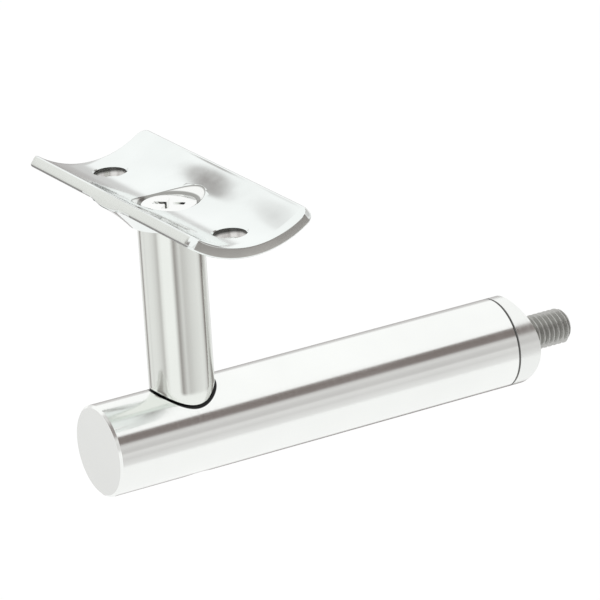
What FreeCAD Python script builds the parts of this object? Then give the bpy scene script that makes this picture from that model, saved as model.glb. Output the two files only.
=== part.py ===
# Handrail bracket with a turned arm, a slim post and a curved saddle for a round rail.
# Millimetres. The origin is on the arm's axis, at the bottom of the curved seat that meets the
# upright: +X runs along the threaded stud, +Y along the rail and +Z up to the rail.
import FreeCAD, Part
import math
import os
import Sketcher

# Driving dimensions, in millimetres and degrees
SIZES = {
    # the rail, the upright and the saddle between them
    "rail_radius": 21.2,
    "upright_radius": 21.2,
    "rail_height": 51.0,
    "saddle_length": 70.0,
    "saddle_width": 31.0,
    "saddle_wall": 2.6,
    "saddle_corner_radius": 2.5,
    "saddle_edge_round": 0.5,
    "rail_hole_spacing": 51.0,
    "rail_hole_radius": 3.5,
    # the cast hub under the saddle
    "hub_drop": 1.2,
    "hub_seat_radius": 9.0,
    "hub_flare_angle": 50.0,
    "hub_flare_curve": 36.0,
    "hub_flare_reach": 17.0,
    # the arm
    "arm_radius": 10.0,
    "arm_length": 100.0,
    "arm_end_chamfer": 0.5,
    "seam_chamfer": 0.25,
    "post_setback": 21.0,
    # the post
    "post_radius": 7.0,
    # the seat ring that fits the arm to a round upright
    "ring_length": 3.2,
    "ring_bore_radius": 4.2,
    # the threaded stud
    "stud_radius": 4.0,
    "stud_reach": 15.0,
    "stud_grip": 16.0,
    "stud_chamfer": 1.0,
    "stud_socket": 4.0,
    "stud_socket_depth": 5.0,
    "stud_bore_spare": 3.0,
    # the two screws that hold the post
    "screw_radius": 3.0,
    "screw_tip_chamfer": 0.6,
    "thread_clearance": 0.05,
    "through_hole_radius": 3.3,
    "tapped_spare": 2.0,
    "drill_point_angle": 59.0,
    # the countersunk screw in the saddle
    "flat_head_radius": 6.0,
    "flat_head_rim": 0.15,
    "flat_head_sink": 0.3,
    "flat_head_gap": 0.1,
    "flat_screw_length": 16.0,
    "recess_radius": 3.5,
    "recess_depth": 3.0,
    "recess_foot_radius": 1.1,
    "recess_wing": 1.4,
    "recess_turn": 45.0,
    # the socket screw under the arm
    "cap_head_radius": 5.0,
    "cap_head_height": 6.0,
    "cap_head_chamfer": 0.4,
    "cap_head_sink": 1.5,
    "counterbore_radius": 5.5,
    "cap_screw_length": 25.0,
    "cap_socket": 5.0,
    "cap_socket_depth": 3.0,
}

doc = FreeCAD.newDocument("HandrailBracket")
sheet = doc.addObject("Spreadsheet::Sheet", "Sizes")
for row, (alias, value) in enumerate(SIZES.items(), start=1):
    sheet.set(f"A{row}", alias)
    sheet.set(f"B{row}", str(value))
    sheet.setAlias(f"B{row}", alias)
doc.recompute()


def size(alias):
    """One driving dimension, as the sheet holds it now."""
    return float(sheet.get(alias))


# Two lengths closer than this are the same one
CLOSE = 0.001

# How far a cut runs on past the face where it leaves the piece
OVERRUN = "1"

# Expressions that several pieces share
TROUGH = "Sizes.rail_radius"
HUB_SEAT = "(Sizes.saddle_wall + Sizes.hub_drop)"
POST_PLACE = "-(Sizes.ring_length + Sizes.arm_length - Sizes.post_setback)"
SADDLE_ANGLE = "(Sizes.saddle_width / (2 * Sizes.rail_radius + Sizes.saddle_wall) * 180 / pi)"
CAP_SEAT = "(Sizes.arm_radius - Sizes.cap_head_sink - Sizes.cap_head_height)"
SHANK = "(Sizes.screw_radius - Sizes.thread_clearance)"
STUD_SHANK = "(Sizes.stud_radius - Sizes.thread_clearance)"


# Helpers for bodies, sketches and features

def new_body(label):
    """An empty body that will become one piece."""
    body = doc.addObject("PartDesign::Body", label)
    body.Label = label
    return body


def new_sketch(body, name, plane):
    """A sketch on one of the body's own origin planes."""
    sketch = body.newObject("Sketcher::SketchObject", name)
    planes = [item for item in body.Origin.OriginFeatures if item.Role == plane]
    sketch.AttachmentSupport = (planes[0], [""])
    sketch.MapMode = "FlatFace"
    return sketch


def bind(sketch, constraint, expression):
    """Add a dimension to a sketch and bind it to an expression."""
    number = sketch.addConstraint(constraint)
    sketch.setExpression(f"Constraints[{number}]", expression)


def pin(sketch, edge, end, across, up):
    """Fix one end of an edge at two expressions, measured from the sketch's origin."""
    for kind, axis, expression in (("DistanceX", -2, across), ("DistanceY", -1, up)):
        if expression == "0":
            sketch.addConstraint(Sketcher.Constraint("PointOnObject", edge, end, axis))
        else:
            bind(sketch, Sketcher.Constraint(kind, -1, 1, edge, end, 1.0), expression)


def outline(sketch, corners):
    """A closed outline of straight lines, each corner a pair of expressions."""
    count = len(corners)
    first = sketch.GeometryCount
    start = [FreeCAD.Vector(index, index * index, 0) for index in range(count)]
    for index in range(count):
        sketch.addGeometry(Part.LineSegment(start[index], start[(index + 1) % count]), False)
    for index in range(count):
        following = first + (index + 1) % count
        sketch.addConstraint(Sketcher.Constraint("Coincident", first + index, 2, following, 1))
    for index, (across, up) in enumerate(corners):
        pin(sketch, first + index, 1, across, up)


def circle(sketch, radius, across="0", up="0"):
    """A full circle with its radius and centre bound to expressions."""
    edge = sketch.addGeometry(
        Part.Circle(FreeCAD.Vector(0, 0, 0), FreeCAD.Vector(0, 0, 1), 1.0), False)
    bind(sketch, Sketcher.Constraint("Radius", edge, 1.0), radius)
    pin(sketch, edge, 3, across, up)


def hexagon(sketch, across_flats):
    """A hexagon about the sketch's origin, given by its width across the flats."""
    corner = f"{across_flats} / (2 * cos(30))"
    outline(sketch, [(f"{corner} * cos({turn})", f"{corner} * sin({turn})")
                     for turn in (30, 90, 150, 210, 270, 330)])


def turned(body, kind, name, sketch, axis):
    """A full revolution or groove of a sketch about one of its own axes."""
    feature = body.newObject(kind, name)
    feature.Profile = sketch
    feature.ReferenceAxis = (sketch, [axis])
    feature.Angle = 360
    return feature


def pocket_through(body, name, sketch):
    """A cut both ways from the sketch, through everything."""
    feature = body.newObject("PartDesign::Pocket", name)
    feature.Profile = sketch
    feature.Type = "ThroughAll"
    feature.Midplane = True
    return feature


def rounded(body, name, base, radius, chosen):
    """A fillet on the edges of a feature that pass a test."""
    doc.recompute()
    names = [f"Edge{number}" for number, edge in enumerate(base.Shape.Edges, start=1)
             if chosen(edge)]
    feature = body.newObject("PartDesign::Fillet", name)
    feature.Base = (base, names)
    feature.setExpression("Radius", radius)
    return feature


def place(piece, across="0", up="0"):
    """Bind a piece's place in the bracket to expressions."""
    piece.setExpression("Placement.Base.x", across)
    piece.setExpression("Placement.Base.z", up)
    return piece


def drill_point(radius):
    """Length of the conical end of a drilled hole."""
    return f"({radius} / tan(Sizes.drill_point_angle))"


# Saddle: a strip bent to the rail, with a flared hub underneath, drawn from the trough's bottom

def on_outline(edge):
    """Whether an edge of the strip runs around its outline, on either face."""
    inner_radius = size("rail_radius")
    outer_radius = inner_radius + size("saddle_wall")
    middle = edge.valueAt((edge.FirstParameter + edge.LastParameter) / 2)
    reach = math.hypot(middle.x, middle.z - inner_radius)
    return min(abs(reach - inner_radius), abs(reach - outer_radius)) < CLOSE


def across_wall(edge):
    """Whether an edge of the strip runs straight through its wall, at a corner."""
    return abs(edge.Length - size("saddle_wall")) < CLOSE


def flare_profile(body):
    """Half the hub's section: a flat seat, and a hollow flare that rises from its rim."""
    sketch = new_sketch(body, "hub_profile", "XZ_Plane")
    seat = -size("saddle_wall") - size("hub_drop")
    rim = size("hub_seat_radius")
    reach = size("hub_flare_reach")
    curve = size("hub_flare_curve")
    steep = math.radians(size("hub_flare_angle"))
    middle = FreeCAD.Vector(rim + curve * math.sin(steep), seat - curve * math.cos(steep), 0)
    gentle = math.asin((middle.x - reach) / curve)
    quarter = math.pi / 2
    flare = Part.ArcOfCircle(Part.Circle(middle, FreeCAD.Vector(0, 0, 1), curve),
                             quarter + gentle, quarter + steep)
    sketch.addGeometry(flare, False)
    top = sketch.getPoint(0, 1)
    corners = [sketch.getPoint(0, 2), FreeCAD.Vector(0, seat, 0), FreeCAD.Vector(0, top.y, 0), top]
    for begin, finish in zip(corners, corners[1:]):
        sketch.addGeometry(Part.LineSegment(begin, finish), False)
    for edge, end, other, start in ((0, 2, 1, 1), (1, 2, 2, 1), (2, 2, 3, 1), (3, 2, 0, 1)):
        sketch.addConstraint(Sketcher.Constraint("Coincident", edge, end, other, start))
    bind(sketch, Sketcher.Constraint("Radius", 0, curve), "Sizes.hub_flare_curve")
    pin(sketch, 0, 3, "Sizes.hub_seat_radius + Sizes.hub_flare_curve * sin(Sizes.hub_flare_angle)",
        f"-{HUB_SEAT} - Sizes.hub_flare_curve * cos(Sizes.hub_flare_angle)")
    pin(sketch, 2, 1, "0", f"-{HUB_SEAT}")
    sketch.addConstraint(Sketcher.Constraint("Horizontal", 1))
    sketch.addConstraint(Sketcher.Constraint("Vertical", 2))
    sketch.addConstraint(Sketcher.Constraint("Horizontal", 3))
    bind(sketch, Sketcher.Constraint("DistanceX", -1, 1, 0, 1, 1.0), "Sizes.hub_flare_reach")
    return sketch


def bent_strip(body):
    """A strip bent to the rail. Its section is two arcs closed by two radial lines."""
    inner_radius = size("rail_radius")
    outer_radius = inner_radius + size("saddle_wall")
    half_angle = size("saddle_width") / (inner_radius + outer_radius)
    section = new_sketch(body, "strip_section", "XZ_Plane")
    centre = FreeCAD.Vector(0, inner_radius, 0)
    lowest = -math.pi / 2
    for radius in (inner_radius, outer_radius):
        ring = Part.Circle(centre, FreeCAD.Vector(0, 0, 1), radius)
        arc = Part.ArcOfCircle(ring, lowest - half_angle, lowest + half_angle)
        section.addGeometry(arc, False)
    for end in (1, 2):
        line = Part.LineSegment(section.getPoint(0, end), section.getPoint(1, end))
        edge = section.addGeometry(line, False)
        section.addConstraint(Sketcher.Constraint("Coincident", edge, 1, 0, end))
        section.addConstraint(Sketcher.Constraint("Coincident", edge, 2, 1, end))
    section.addConstraint(Sketcher.Constraint("Coincident", 0, 3, 1, 3))
    pin(section, 0, 3, "0", TROUGH)
    for edge, radius in ((0, TROUGH), (1, "(Sizes.rail_radius + Sizes.saddle_wall)")):
        bind(section, Sketcher.Constraint("Radius", edge, 1.0), radius)
        for end, side in ((1, "-"), (2, "")):
            half_chord = f"{side}{radius} * sin({SADDLE_ANGLE})"
            bind(section, Sketcher.Constraint("DistanceX", -1, 1, edge, end, 1.0), half_chord)

    strip = body.newObject("PartDesign::Pad", "strip")
    strip.Profile = section
    strip.Midplane = True
    strip.setExpression("Length", "Sizes.saddle_length")
    corners = rounded(body, "strip_corners", strip, "Sizes.saddle_corner_radius", across_wall)
    rounded(body, "strip_edges", corners, "Sizes.saddle_edge_round", on_outline)


def flared_hub(body):
    """The hub, whose flat seat carries the saddle on the post."""
    turned(body, "PartDesign::Revolution", "hub", flare_profile(body), "V_Axis")

    # it ends flush with the strip's two long sides
    sides = new_sketch(body, "hub_sides_profile", "XZ_Plane")
    below = "(Sizes.rail_radius + Sizes.hub_flare_reach)"
    for side in ("-", ""):
        rim = (f"{side}{TROUGH} * sin({SADDLE_ANGLE})", f"{TROUGH} - {TROUGH} * cos({SADDLE_ANGLE})")
        foot = (f"{side}{below} * sin({SADDLE_ANGLE})", f"{TROUGH} - {below} * cos({SADDLE_ANGLE})")
        outline(sides, [rim, foot, (foot[0], rim[1])])
    pocket_through(body, "hub_sides", sides)

    # the trough stays clear for the rail
    trough = new_sketch(body, "trough_profile", "XZ_Plane")
    circle(trough, TROUGH, "0", TROUGH)
    pocket_through(body, "trough", trough)


def saddle_holes(body):
    """The countersunk hole for the post's screw, and two plain holes for the rail's screws."""
    hole = new_sketch(body, "screw_hole_profile", "XZ_Plane")
    sink = "Sizes.flat_head_sink"
    head = "(Sizes.flat_head_radius + Sizes.flat_head_gap)"
    rise = "Sizes.flat_head_radius"
    cone_foot = f"(-{sink} - Sizes.flat_head_rim - ({head} - Sizes.through_hole_radius))"
    outline(hole, [("0", f"-{HUB_SEAT} - {OVERRUN}"),
                   ("Sizes.through_hole_radius", f"-{HUB_SEAT} - {OVERRUN}"),
                   ("Sizes.through_hole_radius", cone_foot),
                   (f"{head} + {sink} + Sizes.flat_head_rim + {rise}", rise),
                   ("0", rise)])
    turned(body, "PartDesign::Groove", "screw_hole", hole, "V_Axis")

    holes = new_sketch(body, "rail_holes_profile", "XY_Plane")
    for side in ("", "-"):
        circle(holes, "Sizes.rail_hole_radius", "0", f"{side}Sizes.rail_hole_spacing / 2")
    pocket_through(body, "rail_holes", holes)


def make_saddle():
    body = new_body("saddle_plate")
    bent_strip(body)
    flared_hub(body)
    saddle_holes(body)
    return place(body, POST_PLACE, "Sizes.rail_height")


# Arm: a turned bar, tapped for the stud at one end and drilled across for the post's screw

def make_arm():
    body = new_body("arm")
    profile = new_sketch(body, "arm_profile", "XZ_Plane")
    radius = "Sizes.arm_radius"
    end = "Sizes.arm_end_chamfer"
    seam = "Sizes.seam_chamfer"
    bore = "Sizes.stud_radius"
    bore_depth = "(Sizes.stud_grip + Sizes.stud_bore_spare)"
    length = "Sizes.arm_length"
    outline(profile, [("0", "0"),
                      ("0", f"{radius} - {end}"),
                      (end, radius),
                      (f"{length} - {seam}", radius),
                      (length, f"{radius} - {seam}"),
                      (length, bore),
                      (f"{length} - {bore_depth}", bore),
                      (f"{length} - {bore_depth} - {drill_point(bore)}", "0")])
    turned(body, "PartDesign::Revolution", "bar", profile, "H_Axis")

    # clearance hole for the post's screw, counterbored from below
    hole = new_sketch(body, "cross_hole_profile", "XZ_Plane")
    left = "Sizes.post_setback"
    outline(hole, [(left, f"-{radius} - {OVERRUN}"),
                   (f"{left} + Sizes.counterbore_radius", f"-{radius} - {OVERRUN}"),
                   (f"{left} + Sizes.counterbore_radius", f"-{CAP_SEAT}"),
                   (f"{left} + Sizes.through_hole_radius", f"-{CAP_SEAT}"),
                   (f"{left} + Sizes.through_hole_radius", f"{radius} + {OVERRUN}"),
                   (left, f"{radius} + {OVERRUN}")])
    axis = hole.addGeometry(Part.LineSegment(FreeCAD.Vector(1, 0, 0), FreeCAD.Vector(1, 1, 0)), True)
    pin(hole, axis, 1, left, "0")
    pin(hole, axis, 2, left, radius)
    turned(body, "PartDesign::Groove", "cross_hole", hole, "Axis0")
    return place(body, "-(Sizes.ring_length + Sizes.arm_length)")


# Post: a round pillar, tapped at both ends, with its foot cut to sit on the arm

def make_post():
    body = new_body("post")
    top = f"(Sizes.rail_height - {HUB_SEAT})"
    profile = new_sketch(body, "post_profile", "XZ_Plane")
    outline(profile, [("0", "0"),
                      ("Sizes.post_radius", "0"),
                      ("Sizes.post_radius", top),
                      ("0", top)])
    turned(body, "PartDesign::Revolution", "pillar", profile, "V_Axis")

    seat = new_sketch(body, "foot_profile", "YZ_Plane")
    circle(seat, "Sizes.arm_radius")
    pocket_through(body, "foot", seat)

    # each tapped bore is drilled from its own end, so a short post can be drilled through
    bore = "Sizes.screw_radius"
    point = drill_point(bore)
    upper_end = ("(Sizes.rail_height - Sizes.flat_head_sink - Sizes.flat_screw_length"
                 " - Sizes.tapped_spare)")
    lower_end = f"(Sizes.cap_screw_length - {CAP_SEAT} + Sizes.tapped_spare)"
    for name, mouth, bottom, tip in (
            ("upper_bore", top, upper_end, f"{upper_end} - {point}"),
            ("lower_bore", "0", lower_end, f"{lower_end} + {point}")):
        drilling = new_sketch(body, f"{name}_profile", "XZ_Plane")
        outline(drilling, [("0", mouth), (bore, mouth), (bore, bottom), ("0", tip)])
        turned(body, "PartDesign::Groove", name, drilling, "V_Axis")
    return place(body, POST_PLACE)


# Seat ring: a collar between the arm and the upright, hollowed to the upright's curve

def make_seat_ring():
    body = new_body("adapter_ring")
    profile = new_sketch(body, "ring_profile", "XZ_Plane")
    radius = "Sizes.arm_radius"
    seam = "Sizes.seam_chamfer"
    reach = "Sizes.arm_radius"
    outline(profile, [("-Sizes.ring_length", "Sizes.ring_bore_radius"),
                      ("-Sizes.ring_length", f"{radius} - {seam}"),
                      (f"-Sizes.ring_length + {seam}", radius),
                      (reach, radius),
                      (reach, "Sizes.ring_bore_radius")])
    turned(body, "PartDesign::Revolution", "collar", profile, "H_Axis")

    seat = new_sketch(body, "upright_profile", "XY_Plane")
    circle(seat, "Sizes.upright_radius", "Sizes.upright_radius")
    pocket_through(body, "upright_seat", seat)
    return body


# Threaded stud: its thread is left plain here, at the outer diameter

def make_stud():
    body = new_body("threaded_stud")
    profile = new_sketch(body, "stud_profile", "XZ_Plane")
    inner_end = "-(Sizes.ring_length + Sizes.stud_grip)"
    chamfer = "Sizes.stud_chamfer"
    outline(profile, [(inner_end, "0"),
                      (inner_end, f"{STUD_SHANK} - {chamfer}"),
                      (f"{inner_end} + {chamfer}", STUD_SHANK),
                      (f"Sizes.stud_reach - {chamfer}", STUD_SHANK),
                      ("Sizes.stud_reach", f"{STUD_SHANK} - {chamfer}"),
                      ("Sizes.stud_reach", "0")])
    turned(body, "PartDesign::Revolution", "pin", profile, "H_Axis")

    socket = new_sketch(body, "stud_socket_profile", "YZ_Plane")
    socket.setExpression("AttachmentOffset.Base.z", "Sizes.stud_reach")
    hexagon(socket, "Sizes.stud_socket")
    cut = body.newObject("PartDesign::Pocket", "stud_socket")
    cut.Profile = socket
    cut.setExpression("Length", "Sizes.stud_socket_depth")
    return body


# Countersunk screw: a turned blank with a cross recess cut into its head

def make_saddle_screw():
    blank = new_body("saddle_screw_blank")
    profile = new_sketch(blank, "flat_screw_profile", "XZ_Plane")
    head = "Sizes.flat_head_radius"
    rim = "Sizes.flat_head_rim"
    tip = "Sizes.screw_tip_chamfer"
    bottom = "-Sizes.flat_screw_length"
    outline(profile, [("0", "0"),
                      (head, "0"),
                      (head, f"-{rim}"),
                      (SHANK, f"-({rim} + {head} - {SHANK})"),
                      (SHANK, f"{bottom} + {tip}"),
                      (f"{SHANK} - {tip}", bottom),
                      ("0", bottom)])
    turned(blank, "PartDesign::Revolution", "flat_screw", profile, "V_Axis")

    cone = doc.addObject("Part::Cone", "recess_cone")
    cone.setExpression("Radius1", "Sizes.recess_foot_radius")
    cone.setExpression("Radius2", "Sizes.recess_radius")
    cone.setExpression("Height", "Sizes.recess_depth")
    cone.setExpression("Placement.Base.z", "-Sizes.recess_depth")
    wings = []
    for name, turn in (("recess_wing_a", "Sizes.recess_turn"),
                       ("recess_wing_b", "(Sizes.recess_turn + 90)")):
        wing = doc.addObject("Part::Box", name)
        wing.setExpression("Length", "2 * Sizes.recess_radius")
        wing.setExpression("Width", "Sizes.recess_wing")
        wing.setExpression("Height", "Sizes.recess_depth")
        wing.Placement.Rotation = FreeCAD.Rotation(FreeCAD.Vector(0, 0, 1), 1)
        wing.setExpression("Placement.Rotation.Angle", turn)
        wing.setExpression(
            "Placement.Base.x",
            f"-Sizes.recess_radius * cos({turn}) + Sizes.recess_wing / 2 * sin({turn})")
        wing.setExpression(
            "Placement.Base.y",
            f"-Sizes.recess_radius * sin({turn}) - Sizes.recess_wing / 2 * cos({turn})")
        wing.setExpression("Placement.Base.z", "-Sizes.recess_depth")
        wings.append(wing)
    cross = doc.addObject("Part::MultiFuse", "recess_cross")
    cross.Shapes = wings
    recess = doc.addObject("Part::Common", "recess")
    recess.Base = cross
    recess.Tool = cone
    screw = doc.addObject("Part::Cut", "saddle_screw")
    screw.Label = "saddle_screw"
    screw.Base = blank
    screw.Tool = recess
    return place(screw, POST_PLACE, "Sizes.rail_height - Sizes.flat_head_sink")


# Socket screw: comes up through the arm into the post

def make_post_screw():
    body = new_body("post_screw")
    profile = new_sketch(body, "cap_screw_profile", "XZ_Plane")
    head = "Sizes.cap_head_radius"
    height = "Sizes.cap_head_height"
    tip = "Sizes.screw_tip_chamfer"
    chamfer = "Sizes.cap_head_chamfer"
    length = "Sizes.cap_screw_length"
    outline(profile, [("0", f"-{height}"),
                      (f"{head} - {chamfer}", f"-{height}"),
                      (head, f"-{height} + {chamfer}"),
                      (head, "0"),
                      (SHANK, "0"),
                      (SHANK, f"{length} - {tip}"),
                      (f"{SHANK} - {tip}", length),
                      ("0", length)])
    turned(body, "PartDesign::Revolution", "cap_screw", profile, "V_Axis")

    socket = new_sketch(body, "cap_socket_profile", "XY_Plane")
    socket.setExpression("AttachmentOffset.Base.z", f"-{height}")
    hexagon(socket, "Sizes.cap_socket")
    cut = body.newObject("PartDesign::Pocket", "cap_socket")
    cut.Profile = socket
    cut.Reversed = True
    cut.setExpression("Length", "Sizes.cap_socket_depth")
    return place(body, POST_PLACE, f"-{CAP_SEAT}")


pieces = [
    make_saddle(),
    make_saddle_screw(),
    make_post(),
    make_post_screw(),
    make_arm(),
    make_seat_ring(),
    make_stud(),
]
doc.recompute()

for item in doc.Objects:
    if "Invalid" in item.State or "Error" in item.State:
        raise RuntimeError(f"{item.Label} did not build: {item.State}")
for piece in pieces:
    if piece.Shape.isNull() or not piece.Shape.isValid() or len(piece.Shape.Solids) != 1:
        raise RuntimeError(f"{piece.Label} is not one sound solid")

os.makedirs("parts", exist_ok=True)
for piece in pieces:
    piece.Shape.exportStep(f"parts/{piece.Label}.step")
    box = piece.Shape.BoundBox
    print(f"{piece.Label}: {piece.Shape.Volume:.1f} mm3, "
          f"x {box.XMin:.2f} to {box.XMax:.2f}, y {box.YMin:.2f} to {box.YMax:.2f}, "
          f"z {box.ZMin:.2f} to {box.ZMax:.2f}")
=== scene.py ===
# %% [markdown]
# A handrail bracket in stainless steel: a turned arm on a threaded stud, a slim post and a saddle
# plate bent to a round rail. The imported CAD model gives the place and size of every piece, and
# this lesson dresses each one: a smooth mesh from lathe, bend and boolean steps, and a metal
# finish made of shader nodes. All lengths are in metres, in the CAD model's own frame, where the
# arm lies along X, the rail along Y and the post stands along Z.

import math

import bmesh
import bpy
from mathutils import Matrix, Quaternion, Vector


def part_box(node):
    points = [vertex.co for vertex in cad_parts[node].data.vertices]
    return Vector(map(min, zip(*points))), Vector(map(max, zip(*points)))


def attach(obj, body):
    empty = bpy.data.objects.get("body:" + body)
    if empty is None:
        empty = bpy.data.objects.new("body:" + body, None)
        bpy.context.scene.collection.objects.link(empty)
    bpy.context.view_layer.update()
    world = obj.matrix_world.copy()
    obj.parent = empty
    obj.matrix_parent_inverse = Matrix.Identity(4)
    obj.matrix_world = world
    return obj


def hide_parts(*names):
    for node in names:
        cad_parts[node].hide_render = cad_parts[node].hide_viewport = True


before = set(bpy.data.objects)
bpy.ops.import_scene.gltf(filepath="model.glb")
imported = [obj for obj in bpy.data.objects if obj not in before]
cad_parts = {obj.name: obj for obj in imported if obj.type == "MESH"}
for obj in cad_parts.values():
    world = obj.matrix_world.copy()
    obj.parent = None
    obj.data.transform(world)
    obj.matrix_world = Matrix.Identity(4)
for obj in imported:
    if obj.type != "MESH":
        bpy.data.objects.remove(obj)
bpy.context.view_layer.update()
MM = 0.001
print("nodes:", sorted(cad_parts))

# %% [markdown]
# The camera comes first, so that every later step can be judged in the final view. It has a long
# lens and looks from the arm's side, a little from above. Its place is worked out from two angles
# and a distance to a target on the bracket, and a small roll tips the frame.

# %% Camera
CAMERA_AZIMUTH = math.radians(-29.78)
CAMERA_ELEVATION = math.radians(20.19)
CAMERA_ROLL = math.radians(3.53)
CAMERA_LENS = 267.21
CAMERA_TARGET = Vector((-52.128, 0, 21.865)) * MM
CAMERA_DISTANCE = 954.25 * MM


def direction(azimuth, elevation):
    """The unit vector from the bracket towards a viewer; azimuth 0 is on the -Y side."""
    return Vector((math.sin(azimuth) * math.cos(elevation),
                   -math.cos(azimuth) * math.cos(elevation),
                   math.sin(elevation)))


scene = bpy.context.scene
camera = bpy.data.objects.new("camera", bpy.data.cameras.new("camera"))
scene.collection.objects.link(camera)
back = direction(CAMERA_AZIMUTH, CAMERA_ELEVATION)
camera.location = CAMERA_TARGET + back * CAMERA_DISTANCE
camera.rotation_mode = "QUATERNION"
camera.rotation_quaternion = (back.to_track_quat("Z", "Y")
                              @ Quaternion((0, 0, 1), -CAMERA_ROLL))
camera.data.lens = CAMERA_LENS
scene.camera = camera
scene.view_settings.view_transform = "Standard"
print("camera at", [round(value / MM, 1) for value in camera.location], "mm")

# %% [markdown]
# Most pieces here are turned: a profile drawn from the axis out and back again, spun once round.
# The lathe takes stations along the axis with a radius each. A second helper turns a finished
# bmesh into an object, with normals recalculated after its doubles are merged, and marks the sharp
# edges, so that shading is smooth on the round and crisp at the rims. Wide bars get more steps
# than slim ones, because a reflection shows every facet.

# %% Lathe and object helpers
AXES = {"x": Vector((1, 0, 0)), "y": Vector((0, 1, 0)), "z": Vector((0, 0, 1))}
OUTWARD = {"x": Vector((0, 0, 1)), "y": Vector((0, 0, 1)), "z": Vector((1, 0, 0))}
MERGE = 0.0005 * MM
SHARP = math.radians(32)
ROUND_STEPS = 128
FINE_STEPS = 192


def draw_line(mesh, stations, axis, centre):
    """Draw a line through (along, radius) stations, and give its vertices and edges."""
    line = [mesh.verts.new(centre + AXES[axis] * along + OUTWARD[axis] * radius)
            for along, radius in stations]
    return line + [mesh.edges.new(pair) for pair in zip(line, line[1:])]


def lathe(stations, axis, centre=(0, 0, 0), steps=ROUND_STEPS):
    """A bmesh spun from (along, radius) stations about a line through centre."""
    mesh = bmesh.new()
    centre = Vector(centre)
    bmesh.ops.spin(mesh, geom=draw_line(mesh, stations, axis, centre), cent=centre,
                   axis=AXES[axis], angle=2 * math.pi, steps=steps, use_merge=True)
    bmesh.ops.remove_doubles(mesh, verts=mesh.verts, dist=MERGE)
    bmesh.ops.recalc_face_normals(mesh, faces=mesh.faces)
    return mesh


def as_object(name, mesh):
    """An object made from a bmesh, smooth on the round and sharp at its rims."""
    bmesh.ops.remove_doubles(mesh, verts=mesh.verts, dist=MERGE)
    bmesh.ops.recalc_face_normals(mesh, faces=mesh.faces)
    for face in mesh.faces:
        face.smooth = True
    data = bpy.data.meshes.new(name)
    mesh.to_mesh(data)
    mesh.free()
    data.set_sharp_from_angle(angle=SHARP)
    piece = bpy.data.objects.new(name, data)
    scene.collection.objects.link(piece)
    return piece


def as_bmesh(piece):
    """An object's mesh as a bmesh again. The object itself goes."""
    mesh = bmesh.new()
    mesh.from_mesh(piece.data)
    bpy.data.objects.remove(piece)
    return mesh


# %% [markdown]
# Holes, sockets and unions are made with the Boolean modifier, because that is how a maker thinks
# of them: a drill is a lathed shape taken away. The modifier is applied at once and its tool is
# thrown away, so the finished piece is one plain mesh. The tool has to be closed and may not lie
# flush with a face of the piece, or else the result differs from run to run. A last helper cleans
# a piece and hands it to the frame in place of its CAD node.

# %% Boolean helpers
def combine(piece, tool_mesh, operation="DIFFERENCE"):
    """Cut a tool from a piece, or join it on, and keep only the result."""
    tool = as_object(piece.name + "_tool", tool_mesh)
    modifier = piece.modifiers.new(operation.lower(), "BOOLEAN")
    modifier.operation = operation
    modifier.solver = "EXACT"
    modifier.object = tool
    bpy.context.view_layer.update()
    depsgraph = bpy.context.evaluated_depsgraph_get()
    result = bpy.data.meshes.new_from_object(piece.evaluated_get(depsgraph))
    piece.modifiers.clear()
    piece.data = result
    result.name = piece.name
    bpy.data.objects.remove(tool)
    return piece


def finished(piece, node):
    """Merge what the booleans left, shade the piece and let it stand for its CAD node."""
    mesh = bmesh.new()
    mesh.from_mesh(piece.data)
    bmesh.ops.remove_doubles(mesh, verts=mesh.verts, dist=MERGE)
    bmesh.ops.dissolve_degenerate(mesh, edges=mesh.edges, dist=MERGE)
    bmesh.ops.recalc_face_normals(mesh, faces=mesh.faces)
    for face in mesh.faces:
        face.smooth = True
    mesh.to_mesh(piece.data)
    mesh.free()
    piece.data.set_sharp_from_angle(angle=SHARP)
    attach(piece, "root")
    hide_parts(node)
    print(f"{piece.name}: {len(piece.data.polygons)} faces")
    return piece


# %% [markdown]
# The arm is a bar of 20 mm, faced at both ends with a small chamfer. It is tapped for the stud at
# the ring's end, and drilled across for the screw that comes up into the post. The stations close
# to the cross hole keep the boolean's odd faces short, so the long reflections stay straight.

# %% Arm
arm_low, arm_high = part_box("arm")
post_low, post_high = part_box("post")
ARM_RADIUS = arm_high.y
POST_RADIUS = post_high.y
POST_X = (post_low.x + post_high.x) / 2
ARM_END_CHAMFER = 0.5 * MM
SEAM_CHAMFER = 0.25 * MM
STUD_BORE_RADIUS = 4 * MM
STUD_BORE_DEPTH = 19 * MM
DRILL_POINT = math.radians(59)
THROUGH_RADIUS = 3.3 * MM
COUNTERBORE_RADIUS = 5.5 * MM
COUNTERBORE_DEPTH = 7.5 * MM
NEAR_HOLE = 8 * MM
CLEAR = 2 * MM


def make_arm():
    """The bar with its bore for the stud, its cross hole and the counterbore below."""
    start, end = arm_low.x, arm_high.x
    bore_end = end - STUD_BORE_DEPTH
    radius = ARM_RADIUS
    arm = as_object("turned_arm", lathe([
        (start, 0),
        (start, radius - ARM_END_CHAMFER),
        (start + ARM_END_CHAMFER, radius),
        (POST_X - NEAR_HOLE, radius),
        (POST_X + NEAR_HOLE, radius),
        (end - SEAM_CHAMFER, radius),
        (end, radius - SEAM_CHAMFER),
        (end, STUD_BORE_RADIUS),
        (bore_end, STUD_BORE_RADIUS),
        (bore_end - STUD_BORE_RADIUS / math.tan(DRILL_POINT), 0)], "x", steps=FINE_STEPS))
    seat = -radius + COUNTERBORE_DEPTH
    combine(arm, lathe([
        (-radius - CLEAR, 0),
        (-radius - CLEAR, COUNTERBORE_RADIUS),
        (seat, COUNTERBORE_RADIUS),
        (seat, THROUGH_RADIUS),
        (radius + CLEAR, THROUGH_RADIUS),
        (radius + CLEAR, 0)], "z", (POST_X, 0, 0)))
    return finished(arm, "arm")


arm = make_arm()

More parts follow.
